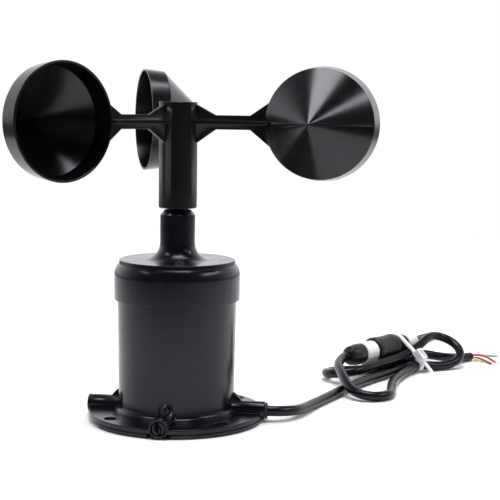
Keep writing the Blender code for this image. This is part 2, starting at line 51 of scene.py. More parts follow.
# Base and housing
FLANGE_R, FLANGE_TOP, FLANGE_BOTTOM = 40.0, 4.25, 2.2
HOLE_CIRCLE_R, HOLE_R = 35.0, 2.75
BODY_FOOT_R, BODY_TOP_R, BODY_BORE_R = 26.3, 26.85, 24.4
BODY_RIM_Z, BORE_RING_Z = 66.0, 13.2
FOOT_RING_R, FOOT_RING_Z = 28.0, 7.0
BOSS_Z, BOSS_R, BOSS_END, BOSS_BORE_R = 4.8, 4.2, 41.0, 3.0
BOSS_ROOT_R = BODY_BORE_R + 0.6
BOSS_ANGLES = (0.0, 90.0, 180.0, 270.0)
GROOVE_DEPTH = 0.22
RIB_THICK, RIB_FOOT_Z, RIB_TOP_Z = 1.6, 7.5, 12.6
POST_ANGLES = (30.0, 150.0, 270.0)
POST_CIRCLE_R, POST_R, POST_TOP, PILOT_R = 21.4, 3.4, 51.7, 1.35
PLATE_TOP = FLANGE_BOTTOM - 0.3

# Cover
SKIRT_Z, SKIRT_R, SHOULDER_Z, SHOULDER_R = 55.0, 28.45, 65.85, 8.0
DISC_Z, DISC_R = 73.0, 26.1
NECK_R, NECK_TOP, NECK_TIP_R, FLARE_R = 7.85, 95.4, 6.15, 7.6

# Rotor
ROTOR_ANGLES = (-7.0, 113.0, 233.0)
HUB_R, HUB_BOTTOM, HUB_TOP = 8.55, 96.3, 143.65
ARM_Z, ARM_HALF_H, WEB_THICK, RIB_HALF_H = 134.85, 3.15, 1.9, 0.8
CUP_CIRCLE_R, CUP_RIM_R, CUP_BAND_R = 65.25, 25.0, 24.0
CUP_BAND, CUP_CONE, CUP_WALL, CUP_FORWARD = 9.3, 24.3, 1.0, 3.6
SEAM_WIDTH, SEAM_HEIGHT, SEAM_DEPTH = 0.35, 0.10, 0.4
CUP_CLEARANCE = 0.12

# Cable, connector and tie. The hank lies along its own axis, and the tie crosses it at TIE_S.
CABLE_R, WIRE_R, TIP_R = 2.4, 0.6, 0.34
SHORT_TIP, LONG_TIP = 1.6, 3.2
STRAP_INSIDE, STRAP_OUTSIDE, STRAP_WIDTH = 0.22, 1.15, 3.0
CONNECTOR_CENTRE = Vector((90.5, 116.4, 12.6))
CONNECTOR_ANGLE = 54.0
HANK_CENTRE = Vector((95.9, 104.2, 0.0))
HANK_ANGLE = 60.5
TIE_S = 19.0
WAIST_CIRCLES = ((-4.7, 4.2, 2.5), (0.5, 9.7, 2.5), (5.2, 4.4, 2.5))
BARREL_CIRCLE = (9.45, 12.6, 5.9)

# Camera, floor and light, in metres
LENS_MM, SENSOR_MM = 88.86, 36.0
CAMERA_RIGHT = Vector((0.99089, 0.13403, 0.01332))
CAMERA_UP = Vector((-0.02869, 0.11336, 0.99314))
CAMERA_PLACE = Vector((0.10591, -0.54488, 0.14238))
FLOOR_R, FLOOR_CENTRE = 0.59, Vector((0.05, 0.26, 0.0))
ROOM_DARK, BACKDROP = 0.12, 1.5
TOWARDS_BACKDROP = (-0.13, 0.98, 0.0)
LAMP_TARGET = Vector((0.0, 0.0, 0.08))


# Geometry helpers ----------------------------------------------------------------------------------

def about_z(degrees):
    return Matrix.Rotation(math.radians(degrees), 4, "Z")


def placed(point, rotation=IDENTITY):
    return Matrix.Translation(Vector(point)) @ rotation


def outward_frame(degrees, z):
    """Local +Z points outwards along the radius, local +X down."""
    return about_z(degrees) @ placed((0.0, 0.0, z)) @ Matrix.Rotation(math.radians(90.0), 4, "Y")


def radial_frame(degrees):
    """Local (x, y, z) is (along the radius, up, across)."""
    return about_z(degrees) @ Matrix(((1, 0, 0, 0), (0, 0, -1, 0), (0, 1, 0, 0), (0, 0, 0, 1)))


def connector_frame():
    """Local +Z runs along the connector from the plug half to the socket half."""
    return placed(CONNECTOR_CENTRE) @ about_z(CONNECTOR_ANGLE) @ Matrix.Rotation(math.radians(90.0), 4, "Y")


def waist_frame():
    """Where the tie sits: local x across the hank, y up, z along it."""
    upright = Matrix(((0, 0, 1, 0), (1, 0, 0, 0), (0, 1, 0, 0), (0, 0, 0, 1)))
    return placed(hank_point(TIE_S, 0.0, 0.0)) @ about_z(HANK_ANGLE) @ upright


def hank_point(along, across, height):
    """A place in the tied bundle: along its axis, across it towards -Y, and above the floor."""
    angle = math.radians(HANK_ANGLE)
    forward = Vector((math.cos(angle), math.sin(angle), 0.0))
    sideways = Vector((math.sin(angle), -math.cos(angle), 0.0))
    return HANK_CENTRE + forward * along + sideways * across + Vector((0.0, 0.0, height))


def connector_point(along):
    angle = math.radians(CONNECTOR_ANGLE)
    return CONNECTOR_CENTRE + Vector((math.cos(angle), math.sin(angle), 0.0)) * along


def axes(x, y, z, origin):
    """A matrix from three directions and a place."""
    return Matrix(((x.x, y.x, z.x, origin.x), (x.y, y.y, z.y, origin.y), (x.z, y.z, z.z, origin.z),
                   (0.0, 0.0, 0.0, 1.0)))


def arc(centre, radius, start_deg, end_deg, steps):
    points = []
    for i in range(steps + 1):
        angle = math.radians(start_deg + (end_deg - start_deg) * i / steps)
        points.append((centre[0] + radius * math.cos(angle), centre[1] + radius * math.sin(angle)))
    return points


def rounded(outline, steps=3, closed=False):
    """Rounds the corners of an (x, y) outline. A third number on a point is its corner radius."""
    result = []
    count = len(outline)
    for i, point in enumerate(outline):
        here = Vector(point[:2])
        radius = point[2] if len(point) > 2 else 0.0
        if radius <= 0.0 or (not closed and i in (0, count - 1)):
            result.append(tuple(here))
            continue
        before = Vector(outline[i - 1][:2]) - here
        after = Vector(outline[(i + 1) % count][:2]) - here
        half = before.angle(after) / 2
        reach = min(radius / math.tan(half), before.length * 0.49, after.length * 0.49)
        start = here + before.normalized() * reach
        end = here + after.normalized() * reach
        for k in range(steps + 1):
            t = k / steps
            result.append(tuple(start * (1 - t) ** 2 + here * 2 * t * (1 - t) + end * t ** 2))
    return result


def link(name, data):
    obj = bpy.data.objects.new(name, data)
    bpy.context.collection.objects.link(obj)
    return obj


def finish_mesh(name, bm, material, matrix, angle):
    """Turns a mesh drawn in millimetres into a placed object. Faces that meet above the angle stay sharp."""
    bmesh.ops.remove_doubles(bm, verts=bm.verts, dist=MERGE)
    bmesh.ops.recalc_face_normals(bm, faces=bm.faces)
    bmesh.ops.transform(bm, matrix=Matrix.Scale(MM, 4) @ matrix, verts=bm.verts)
    mesh = bpy.data.meshes.new(name)
    bm.to_mesh(mesh)
    bm.free()
    mesh.shade_smooth()
    mesh.set_sharp_from_angle(angle=math.radians(angle))
    mesh.materials.append(material)
    return link(name, mesh)


def lathe(name, outline, material, matrix=IDENTITY, steps=96, closed=False, angle=FACET_ANGLE):
    """Spins an (r, z) outline about local Z. An open outline starts and ends on the axis."""
    bm = bmesh.new()
    verts = [bm.verts.new((p[0], 0.0, p[1])) for p in outline]
    edges = [bm.edges.new(pair) for pair in zip(verts, verts[1:])]
    if closed:
        edges.append(bm.edges.new((verts[-1], verts[0])))
    bmesh.ops.spin(bm, geom=verts + edges, cent=(0, 0, 0), axis=(0, 0, 1), angle=math.tau, steps=steps)
    return finish_mesh(name, bm, material, matrix, angle)


def bevel_edges(bm, width, segments):
    if width > 0.0:
        bmesh.ops.bevel(bm, geom=bm.edges[:], offset=width, segments=segments, profile=0.5, affect="EDGES")


def prism(name, outline, low, high, material, matrix=IDENTITY, edge=0.0):
    """Extrudes an (x, y) outline from z = low to z = high, with an optional bevel on its edges."""
    bm = bmesh.new()
    face = bm.faces.new([bm.verts.new((p[0], p[1], low)) for p in outline])
    grown = bmesh.ops.extrude_face_region(bm, geom=[face])
    top = [item for item in grown["geom"] if isinstance(item, bmesh.types.BMVert)]
    bmesh.ops.translate(bm, vec=(0, 0, high - low), verts=top)
    bevel_edges(bm, edge, 2)
    return finish_mesh(name, bm, material, matrix, BLOCK_ANGLE)


def block(name, size, centre, material, matrix=IDENTITY, edge=0.0):
    bm = bmesh.new()
    bmesh.ops.create_cube(bm, size=1.0)
    bmesh.ops.scale(bm, vec=size, verts=bm.verts)
    bmesh.ops.translate(bm, vec=centre, verts=bm.verts)
    bevel_edges(bm, edge, 3)
    return finish_mesh(name, bm, material, matrix, BLOCK_ANGLE)


def apply_modifiers(obj):
    depsgraph = bpy.context.evaluated_depsgraph_get()
    mesh = bpy.data.meshes.new_from_object(obj.evaluated_get(depsgraph))
    obj.modifiers.clear()
    obj.data = mesh


def boolean(target, operands, operation):
    """Joins or cuts the operands, which are used up."""
    for operand in operands:
        modifier = target.modifiers.new("boolean", "BOOLEAN")
        modifier.operation = operation
        modifier.solver = "EXACT"
        modifier.object = operand
        apply_modifiers(target)
        bpy.data.objects.remove(operand, do_unlink=True)


def soften(obj, width):
    """Small moulded radius on every sharp edge."""
    bevel = obj.modifiers.new("edge radius", "BEVEL")
    bevel.width = width * MM
    bevel.segments = 3
    bevel.limit_method = "ANGLE"
    bevel.angle_limit = math.radians(38.0)
    bevel.miter_outer = "MITER_ARC"
    weigh(obj)


def weigh(obj):
    """Shading weighted to the large faces."""
    weighted = obj.modifiers.new("weighted normals", "WEIGHTED_NORMAL")
    weighted.keep_sharp = True
    weighted.weight = 100


# Materials -------------------------------------------------------------------------------------------

def shader_material(name):
    material = bpy.data.materials.new(name)
    material.use_nodes = True
    nodes = material.node_tree.nodes
    links = material.node_tree.links
    return material, nodes, links, nodes["Principled BSDF"]


def noise(nodes, links, coordinates, scale, detail=3.0, roughness=0.5):
    texture = nodes.new("ShaderNodeTexNoise")
    texture.inputs["Scale"].default_value = scale
    texture.inputs["Detail"].default_value = detail
    texture.inputs["Roughness"].default_value = roughness
    links.new(coordinates, texture.inputs["Vector"])
    return texture.outputs["Fac"]


def spread(nodes, links, value, target, source=(0.3, 0.7), interpolation="LINEAR"):
    """Maps a value from the source range onto the target range. Noise lies mostly between 0.3 and 0.7."""
    node = nodes.new("ShaderNodeMapRange")
    node.interpolation_type = interpolation
    node.inputs["From Min"].default_value, node.inputs["From Max"].default_value = source
    node.inputs["To Min"].default_value, node.inputs["To Max"].default_value = target
    links.new(value, node.inputs["Value"])
    return node.outputs["Result"]


def tint(nodes, links, value, dark, light):
    """Blends between two colours by a noise value."""
    ramp = nodes.new("ShaderNodeValToRGB")
    ramp.color_ramp.elements[0].position = 0.3
    ramp.color_ramp.elements[0].color = (*dark, 1.0)
    ramp.color_ramp.elements[1].position = 0.72
    ramp.color_ramp.elements[1].color = (*light, 1.0)
    links.new(value, ramp.inputs["Fac"])
    return ramp.outputs["Color"]


def bump(nodes, links, height, strength, depth):
    node = nodes.new("ShaderNodeBump")
    node.inputs["Strength"].default_value = strength
    node.inputs["Distance"].default_value = depth * MM
    links.new(height, node.inputs["Height"])
    return node


def moulded(name, dark, light, roughness, grain=2600.0, grain_depth=0.02, streak=1.0, **sockets):
    """Moulded material: slow colour and gloss drift, faint flow marks and a fine surface grain.

    The grain is a noise scale and its depth is in millimetres. Other shader sockets are given by name.
    """
    material, nodes, links, shader = shader_material(name)
    coordinates = nodes.new("ShaderNodeTexCoord").outputs["Object"]
    stretch = nodes.new("ShaderNodeMapping")
    stretch.inputs["Scale"].default_value = (1.0, 1.0, streak)
    links.new(coordinates, stretch.inputs["Vector"])
    drift = noise(nodes, links, stretch.outputs["Vector"], 70.0, 4.0)
    fine = noise(nodes, links, coordinates, grain, 2.0, 0.6)
    smudge = noise(nodes, links, coordinates, 240.0, 6.0, 0.62)
    links.new(tint(nodes, links, drift, dark, light), shader.inputs["Base Color"])
    links.new(spread(nodes, links, smudge, roughness), shader.inputs["Roughness"])
    for socket, value in sockets.items():
        shader.inputs[socket.replace("_", " ")].default_value = value
    wave = noise(nodes, links, stretch.outputs["Vector"], 160.0, 2.0)
    ripple = bump(nodes, links, wave, 0.05, 0.04)
    surface = bump(nodes, links, fine, 0.5, grain_depth)
    links.new(ripple.outputs["Normal"], surface.inputs["Normal"])
    links.new(surface.outputs["Normal"], shader.inputs["Normal"])
    return material


def turned_metal(name, dark, light, roughness):
    """Metal with fine turning marks."""
    return moulded(name, dark, light, roughness, 3200.0, 0.015, 6.0, Metallic=1.0)


body_black = moulded("satin_black_housing", (0.0024, 0.0022, 0.0046), (0.0044, 0.0040, 0.0078), (0.19, 0.27),
                     3000.0, 0.004, Specular_IOR_Level=0.36, Specular_Tint=(0.90, 0.87, 1.0, 1.0))
rotor_black = moulded("gloss_black_rotor", (0.0026, 0.0026, 0.0036), (0.0044, 0.0044, 0.0062), (0.19, 0.27),
                      3000.0, 0.004, Specular_IOR_Level=0.40, Specular_Tint=(0.93, 0.92, 1.0, 1.0))
hub_black = moulded("satin_black_hub", (0.0026, 0.0026, 0.0036), (0.0044, 0.0044, 0.0062), (0.29, 0.38),
                    3000.0, 0.004, Specular_IOR_Level=0.30, Specular_Tint=(0.93, 0.92, 1.0, 1.0))
jacket_black = moulded("cable_jacket_black", (0.0026, 0.0026, 0.0042), (0.0048, 0.0048, 0.0075), (0.20, 0.30),
                       2400.0, 0.006, Specular_IOR_Level=0.29, Specular_Tint=(0.91, 0.91, 1.0, 1.0))
connector_black = moulded("connector_black", (0.004, 0.004, 0.0045), (0.0078, 0.0078, 0.0085), (0.32, 0.46),
                          3600.0, 0.010, Specular_IOR_Level=0.4)
rubber_black = moulded("rubber_black", (0.010, 0.010, 0.010), (0.02, 0.02, 0.02), (0.55, 0.75), 2600.0, 0.04)
label_white = moulded("label_film_white", (0.78, 0.78, 0.79), (0.88, 0.88, 0.88), (0.38, 0.55), 1800.0, 0.02)
nylon_white = moulded("nylon_milky", (0.74, 0.75, 0.77), (0.88, 0.88, 0.90), (0.28, 0.42), 1500.0, 0.02,
                      Subsurface_Weight=0.35, Subsurface_Scale=0.002, Subsurface_Radius=(1.0, 1.0, 1.0))
wire_green = moulded("insulation_green", (0.01, 0.36, 0.25), (0.02, 0.46, 0.33), (0.3, 0.42), 3000.0, 0.015)
wire_red = moulded("insulation_red", (0.60, 0.02, 0.025), (0.75, 0.04, 0.045), (0.3, 0.42), 3000.0, 0.015)
wire_brown = moulded("insulation_brown", (0.16, 0.045, 0.02), (0.23, 0.075, 0.03), (0.3, 0.42), 3000.0, 0.015)
wire_yellow = moulded("insulation_yellow", (0.75, 0.66, 0.34), (0.86, 0.78, 0.46), (0.3, 0.42), 3000.0, 0.015)
tinned = turned_metal("tinned_copper", (0.62, 0.60, 0.58), (0.80, 0.78, 0.76), (0.25, 0.4))
steel = turned_metal("turned_steel", (0.48, 0.48, 0.50), (0.62, 0.62, 0.64), (0.22, 0.36))
# The hub insert is brass painted near black: painted shade for the dark gap between the hub's foot and the
# neck.
insert_painted_gap_shade = turned_metal("brass_painted_gap_shade", (0.010, 0.009, 0.008), (0.022, 0.019, 0.015), (0.4, 0.55))
brass = turned_metal("turned_brass", (0.62, 0.44, 0.18), (0.78, 0.58, 0.28), (0.25, 0.4))
board_green = moulded("board_laminate", (0.015, 0.13, 0.05), (0.02, 0.19, 0.08), (0.3, 0.5), 1800.0, 0.02)
chip_black = moulded("chip_epoxy", (0.012, 0.012, 0.012), (0.022, 0.022, 0.022), (0.55, 0.7), 4000.0, 0.03)
terminal_green = moulded("terminal_moulding", (0.03, 0.25, 0.08), (0.05, 0.33, 0.12), (0.3, 0.45))
magnet_grey = moulded("ferrite_grey", (0.10, 0.10, 0.11), (0.17, 0.17, 0.18), (0.45, 0.65), 3800.0, 0.04)


# Camera ------------------------------------------------------------------------------------------------

def make_camera():
    data = bpy.data.cameras.new("camera")
    data.lens = LENS_MM
    data.sensor_width = SENSOR_MM
    data.clip_start = 0.01
    data.clip_end = 20.0
    camera = link("camera", data)
    camera.matrix_world = axes(CAMERA_RIGHT, CAMERA_UP, CAMERA_RIGHT.cross(CAMERA_UP), CAMERA_PLACE)
    bpy.context.scene.camera = camera


# Cords -------------------------------------------------------------------------------------------------

# The free lead in the object's frame: out of the boss, down to the floor and up to the hank
FREE_LEAD = ((41.5, 0.0, 4.8), (44.3, 0.0, 4.8), (48.7, 0.9, 4.7), (52.4, 3.7, 4.4), (54.9, 8.0, 3.8),
             (56.7, 13.6, 3.2), (58.9, 20.8, 2.8), (62.0, 29.7, 2.5), (65.4, 38.8, 2.5), (69.0, 48.2, 2.5))
# Along the hank under the tie, then round the far loop and back to the socket half
FAR_LOOP = ((-53, 2.6, 2.5), (-41, 1.2, 2.5), (-22, -0.2, 2.5), (-5, -0.2, 2.5), (8, -0.2, 3.0),
            (18.5, -0.2, 3.9), (24.5, -0.4, 2.7), (31, -3.8, 2.5), (38, -11.6, 2.5), (45, -19.6, 2.6),
            (53, -25, 4.0), (61.8, -23.6, 6.6), (65.6, -15.2, 10.4), (59, -7.4, 12.6), (46, -6.3, 12.6))
# From the plug half round the near loop, under the tie, back over it, round again and out to the bare end
LONG_RUN = (
    (-36, -10.6, 11.2), (-43, -4.4, 9.8), (-49, 1.6, 7.9), (-54.2, 7.6, 5.4), (-57.2, 15.6, 3.3),
    (-53.4, 23.4, 2.5), (-46, 26.0, 2.5), (-39.5, 23.4, 2.5), (-31, 18.4, 2.5), (-20, 12.8, 2.5),
    (-7, 8.2, 2.5), (6, 5.6, 3.0), (19, 4.7, 4.1), (24, 6.4, 3.3), (28.5, 9.4, 2.6), (33.5, 13.4, 2.6),
    (39.5, 16.8, 3.6), (47, 16.8, 7.0), (51.6, 10.2, 11.8), (48.6, 2.2, 15.4), (40.4, 0.2, 16.4),
    (32, 0.8, 14.2), (25, 0.5, 11.7), (19, -0.4, 9.9), (10, -1.3, 8.8), (0, -2.2, 8.2), (-12, -3.4, 7.8),
    (-21, -4.0, 7.3), (-29, -6.8, 6.4), (-33, -14.5, 5.2), (-29.5, -22.6, 3.9), (-21, -25.6, 2.8),
    (-12, -22, 2.5), (-4, -15.4, 2.5), (4, -9.6, 2.6), (11, -6.0, 3.4), (18, -4.9, 4.3), (24, -2.9, 6.9),
    (29.5, 0.0, 8.2), (34.5, 3.6, 7.3), (40, 6.0, 5.7), (48, 8.2, 4.2), (56, 10.4, 3.2), (65.8, 12.6, 2.5))

LEAD_TO_SOCKET = ([Vector(p) for p in FREE_LEAD] + [hank_point(*p) for p in FAR_LOOP]
                  + [connector_point(33.0), connector_point(27.5)])
PLUG_TO_END = [connector_point(-28.5), connector_point(-32.5)] + [hank_point(*p) for p in LONG_RUN]
HELD = 6


def through(knots, steps):
    """Points of a centripetal Catmull-Rom curve through the knots."""
    padded = [knots[0] * 2 - knots[1]] + knots + [knots[-1] * 2 - knots[-2]]
    points = []
    for a, b, c, d in zip(padded, padded[1:], padded[2:], padded[3:]):
        t1 = (b - a).length ** 0.5
        t2 = t1 + (c - b).length ** 0.5
        t3 = t2 + (d - c).length ** 0.5
        for i in range(steps):
            t = t1 + (t2 - t1) * i / steps
            ab = a * ((t1 - t) / t1) + b * (t / t1)
            bc = b * ((t2 - t) / (t2 - t1)) + c * ((t - t1) / (t2 - t1))
            cd = c * ((t3 - t) / (t3 - t2)) + d * ((t - t2) / (t3 - t2))
            left = ab * ((t2 - t) / t2) + bc * (t / t2)
            right = bc * ((t3 - t) / (t3 - t1)) + cd * ((t - t1) / (t3 - t1))
            points.append(left * ((t2 - t) / (t2 - t1)) + right * ((t - t1) / (t2 - t1)))
    points.append(knots[-1].copy())
    return points


def spaced(points, step):
    """The same line with points an even distance apart, and its length."""
    run = [0.0]
    for a, b in zip(points, points[1:]):
        run.append(run[-1] + (b - a).length)
    count = max(2, round(run[-1] / step))
    result = []
    k = 0
    for i in range(count + 1):
        goal = run[-1] * i / count
        while k < len(points) - 2 and run[k + 1] < goal:
            k += 1
        share = (goal - run[k]) / max(run[k + 1] - run[k], 1e-9)
        result.append(points[k].lerp(points[k + 1], min(max(share, 0.0), 1.0)))
    return result, run[-1]


def relaxed(points, rounds):
    """Evens out the bends, as a springy cable does. The first and last HELD points keep their places."""
    for _ in range(rounds):
        mid = [(a + b * 6 + c) / 8 for a, b, c in zip(points, points[1:], points[2:])]
        points = points[:HELD] + mid[HELD - 1:len(points) - HELD - 1] + points[-HELD:]
    return points


def cord_curve(name, points, radius, material, sides=6):
    curve = bpy.data.curves.new(name, "CURVE")
    curve.dimensions = "3D"
    curve.bevel_depth = radius * MM
    curve.bevel_resolution = sides
    curve.resolution_u = 5
    curve.use_fill_caps = True
    spline = curve.splines.new("BEZIER")
    spline.bezier_points.add(len(points) - 1)
    for slot, point in zip(spline.bezier_points, points):
        slot.co = point * MM
        slot.handle_left_type = "AUTO"
        slot.handle_right_type = "AUTO"
    curve.materials.append(material)
    return link(name, curve)


def make_cord(name, knots, radius, material, step=4.0, rounds=60):
    """The cord, the points of its centre line and its length in metres."""
    fine, _ = spaced(through(knots, 12), 1.0)
    points, length = spaced(relaxed(fine, rounds), step)
    return cord_curve(name, points, radius, material), points, length * MM


def make_cables():
    """The sensor's own lead up to the socket half, and the long lead from the plug half to its bare end."""
    pieces = make_connector()
    lead, _, lead_length = make_cord("cable_sensor_lead", LEAD_TO_SOCKET, CABLE_R, jacket_black)
    long_lead, _, long_length = make_cord("cable_long_lead", PLUG_TO_END, CABLE_R, jacket_black)
    wires = make_wires()
    tie = make_tie()
    for piece in [lead, long_lead, tie] + wires:
        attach(piece, BASE)
    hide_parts("cable_lead")
    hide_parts("cable_hank", "cable_tail")
    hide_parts("cable_tie")


# Connector outlines as (radius, along, corner radius)
PLUG_LINE = [(0.0, -29.4), (3.3, -29.4, 0.3), (4.9, -28.0, 0.8), (5.2, -24.6, 0.3), (5.5, -24.0, 0.3),
             (5.5, -19.4, 0.2), (5.3, -19.1, 0.1), (5.3, -9.5, 0.1), (4.4, -9.4, 0.1), (4.4, -0.3),
             (0.0, -0.3)]
SOCKET_LINE = [(0.0, 0.3), (5.1, 0.3, 0.2), (5.1, 9.6, 0.2), (5.75, 9.8, 0.3), (5.75, 16.8, 0.1),
               (5.6, 17.0, 0.1), (5.6, 25.4, 0.1), (5.6, 26.0, 0.3), (4.6, 26.6, 0.2), (4.6, 28.0, 0.5),
               (3.2, 29.4, 0.4), (0.0, 29.4)]
NUT_LINE = [(5.65, -8.7), (6.6, -8.7, 0.3), (7.1, -7.9, 0.5), (7.15, -5.4, 0.2), (6.95, -5.1, 0.1),
            (6.95, 5.3, 0.1), (7.2, 5.6, 0.2), (7.2, 7.9, 0.5), (6.7, 8.7, 0.3), (5.65, 8.7)]


def make_connector():
    """Screw connector in two halves with a coupling nut, raised at each end, and two blank label wraps."""
    at = connector_frame()
    plug = lathe("connector_plug_half", rounded(PLUG_LINE), connector_black, at)
    socket = lathe("connector_socket_half", rounded(SOCKET_LINE), connector_black, at)
    nut = lathe("coupling_nut_ribbed", rounded(NUT_LINE), connector_black, at, closed=True)
    wraps = [make_wrap("label_blank_plug", -19.0, -9.7, 5.55, at),
             make_wrap("label_blank_socket", 17.2, 25.2, 5.85, at)]
    for piece, node, body in ((plug, "connector_plug", BASE), (socket, "connector_socket", BASE),
                              (nut, "coupling_nut", NUT), (wraps[0], "label_wrap_plug", BASE),
                              (wraps[1], "label_wrap_socket", BASE)):
        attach(piece, body)
        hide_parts(node)
    return [plug, socket, nut] + wraps


def make_wrap(name, low, high, radius, at):
    """A thin film round the connector, with a flap where its end overlaps."""
    inner, outer = radius - 0.2, radius + 0.12
    line = rounded([(inner, low), (outer, low, 0.08), (outer, high, 0.08), (inner, high)])
    wrap = lathe(name, line, label_white, at, closed=True)
    centre = (0.0, 0.0)
    outline = arc(centre, radius + 0.42, 196.0, 262.0, 10) + arc(centre, radius + 0.05, 262.0, 196.0, 10)
    boolean(wrap, [prism("flap", outline, low + 0.2, high - 0.2, label_white, at)], "UNION")
    return wrap


def make_tie():
    """Nylon cable tie: strap, ratchet head with its window, and trimmed tail."""
    at = waist_frame()
    held = WAIST_CIRCLES + (BARREL_CIRCLE,)
    half = STRAP_WIDTH / 2
    strap = prism("cable_tie_nylon", hull(held, STRAP_OUTSIDE), -half, half, nylon_white, at)
    hollow = prism("hollow", hull(held, STRAP_INSIDE), -4.0, 4.0, nylon_white, at)
    boolean(strap, [hollow], "DIFFERENCE")
    lean = at @ placed((-6.4, 9.6, 0.0)) @ Matrix.Rotation(math.radians(136.0), 4, "Z")
    head = block("head", (4.4, 6.4, 5.0), (0.0, 0.0, 0.0), nylon_white, lean, 0.5)
    tail = block("tail", (1.05, 9.0, 2.5), (-0.4, 6.6, 0.0), nylon_white, lean, 0.25)
    boolean(strap, [head, tail], "UNION")
    window = block("window", (1.6, 4.4, 3.0), (1.9, 0.4, 0.0), nylon_white, lean)
    boolean(strap, [window], "DIFFERENCE")
    soften(strap, 0.18)
    return strap


def turn(a, b, c):
    """Positive where the way from a by b to c turns left."""
    return (b[0] - a[0]) * (c[1] - a[1]) - (b[1] - a[1]) * (c[0] - a[0])


def half_hull(ordered):
    chain = []
    for point in ordered:
        while len(chain) > 1 and turn(chain[-2], chain[-1], point) <= 1e-6:
            chain.pop()
        chain.append(point)
    return chain[:-1]


def hull(circles, grow, steps=40):
    """Convex outline round (x, y, radius) circles, each grown by the same amount."""
    points = []
    for x, y, radius in circles:
        points += arc((x, y), radius + grow, 0.0, 360.0 * (steps - 1) / steps, steps - 1)
    points = sorted(points)
    return half_hull(points) + half_hull(points[::-1])


WIRES = {
    "wire_green": (wire_green, "green_insulation",
                   ((137.6, 153.9, 2.9), (140.2, 156.6, 3.3), (145.5, 158.0, 3.2), (148.4, 159.9, 2.4),
                    (154.6, 164.6, 1.4))),
    "wire_red": (wire_red, "red_insulation",
                 ((138.4, 153.2, 2.9), (140.9, 155.4, 3.4), (145.5, 156.2, 3.1), (149.3, 154.2, 2.4),
                  (151.6, 151.4, 1.4), (153.2, 149.8, 1.0))),
    "wire_brown": (wire_brown, "brown_insulation",
                   ((137.6, 153.9, 1.9), (140.2, 156.6, 1.7), (143.3, 157.3, 1.6), (146.3, 153.9, 1.2),
                    (148.5, 150.4, 0.9), (150.4, 146.2, 0.8))),
    "wire_yellow": (wire_yellow, "yellow_insulation",
                    ((138.4, 153.2, 1.9), (140.9, 155.4, 1.6), (142.6, 154.6, 1.2), (144.4, 153.0, 0.9),
                     (145.6, 151.4, 0.8))),
}


def make_wires():
    """Four cores that leave the jacket, each with a tinned tip."""
    pieces = []
    for node, (material, slot_name, route) in WIRES.items():
        knots = [Vector(p) for p in route]
        wire, points, _ = make_cord(node + "_core", knots, WIRE_R, material, 1.5, 6)
        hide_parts(node)
        heading = (points[-1] - points[-2]).normalized()
        start = points[-1] - heading * 0.3
        reach = LONG_TIP if node in ("wire_red", "wire_brown") else SHORT_TIP
        droop = Vector((0.0, 0.0, -0.1 if points[-1].z > WIRE_R else 0.0))
        stub = [start, start + heading * reach * 0.5, start + heading * reach + droop]
        tip = cord_curve(node + "_tinned_tip", stub, TIP_R, tinned, 3)
        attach(tip, BASE)
        pieces += [wire, tip]
    return pieces


# Housing, base and cover -----------------------------------------------------------------------------

def joined(objects):
    """Several separate closed solids as one object."""
    bm = bmesh.new()
    for obj in objects:
        bm.from_mesh(obj.data)
    mesh = objects[0].data
    bm.to_mesh(mesh)
    bm.free()
    for obj in objects[1:]:
        bpy.data.objects.remove(obj, do_unlink=True)
    return objects[0]


def cylinder(name, radius, low, high, material, matrix, steps=48):
    return lathe(name, [(0.0, low), (radius, low), (radius, high), (0.0, high)], material, matrix, steps)


def on_circle(radius, degrees):
    return placed((radius * math.cos(math.radians(degrees)), radius * math.sin(math.radians(degrees)), 0.0))


def hole_cutters(material):
    """Mounting holes with a small lead-in at the top."""
    line = [(0.0, -5.0), (HOLE_R, -5.0), (HOLE_R, FLANGE_TOP - 0.35), (HOLE_R + 0.85, FLANGE_TOP + 0.5),
            (0.0, FLANGE_TOP + 0.5)]
    return [lathe("hole", line, material, on_circle(HOLE_CIRCLE_R, 45.0 + angle), 48)
            for angle in BOSS_ANGLES]


def body_outline():
    """Body tube, its foot ring and the flange round one open bore."""
    foot = arc((FOOT_RING_R + 0.4, FOOT_RING_Z), FOOT_RING_R + 0.4 - BODY_FOOT_R, 180.0, 250.0, 10)
    # Rings along the straight wall, and one in the bore, keep the shading even above the ribs
    wall = [(BODY_TOP_R + (BODY_FOOT_R - BODY_TOP_R) * (SKIRT_Z - z) / (SKIRT_Z - FOOT_RING_Z), z)
            for z in (SKIRT_Z, 35.0, 18.0, 13.4, 13.0)]
    inside = [(BODY_BORE_R, BORE_RING_Z), (BODY_BORE_R, BODY_RIM_Z, 0.3), (BODY_TOP_R, BODY_RIM_Z, 0.5)]
    ring = [(FOOT_RING_R, foot[-1][1], 0.15), (FOOT_RING_R, FLANGE_TOP + 0.2, 0.2),
            (FOOT_RING_R + 0.25, FLANGE_TOP)]
    flange = [(FLANGE_R, FLANGE_TOP, 0.55), (FLANGE_R, FLANGE_BOTTOM, 0.25), (BODY_BORE_R, FLANGE_BOTTOM)]
    return inside + wall + foot + ring + flange


def boss_outline(grooved):
    """A solid boss, with a shallow ring near its end where grooved."""
    floor = BOSS_R - GROOVE_DEPTH
    groove = [(BOSS_R, 38.9, 0.1), (floor, 39.1), (floor, 39.4), (BOSS_R, 39.6, 0.1)] if grooved else []
    return [(0.0, BOSS_ROOT_R), (BOSS_R, BOSS_ROOT_R)] + groove + [(BOSS_R, BOSS_END, 0.4), (0.0, BOSS_END)]


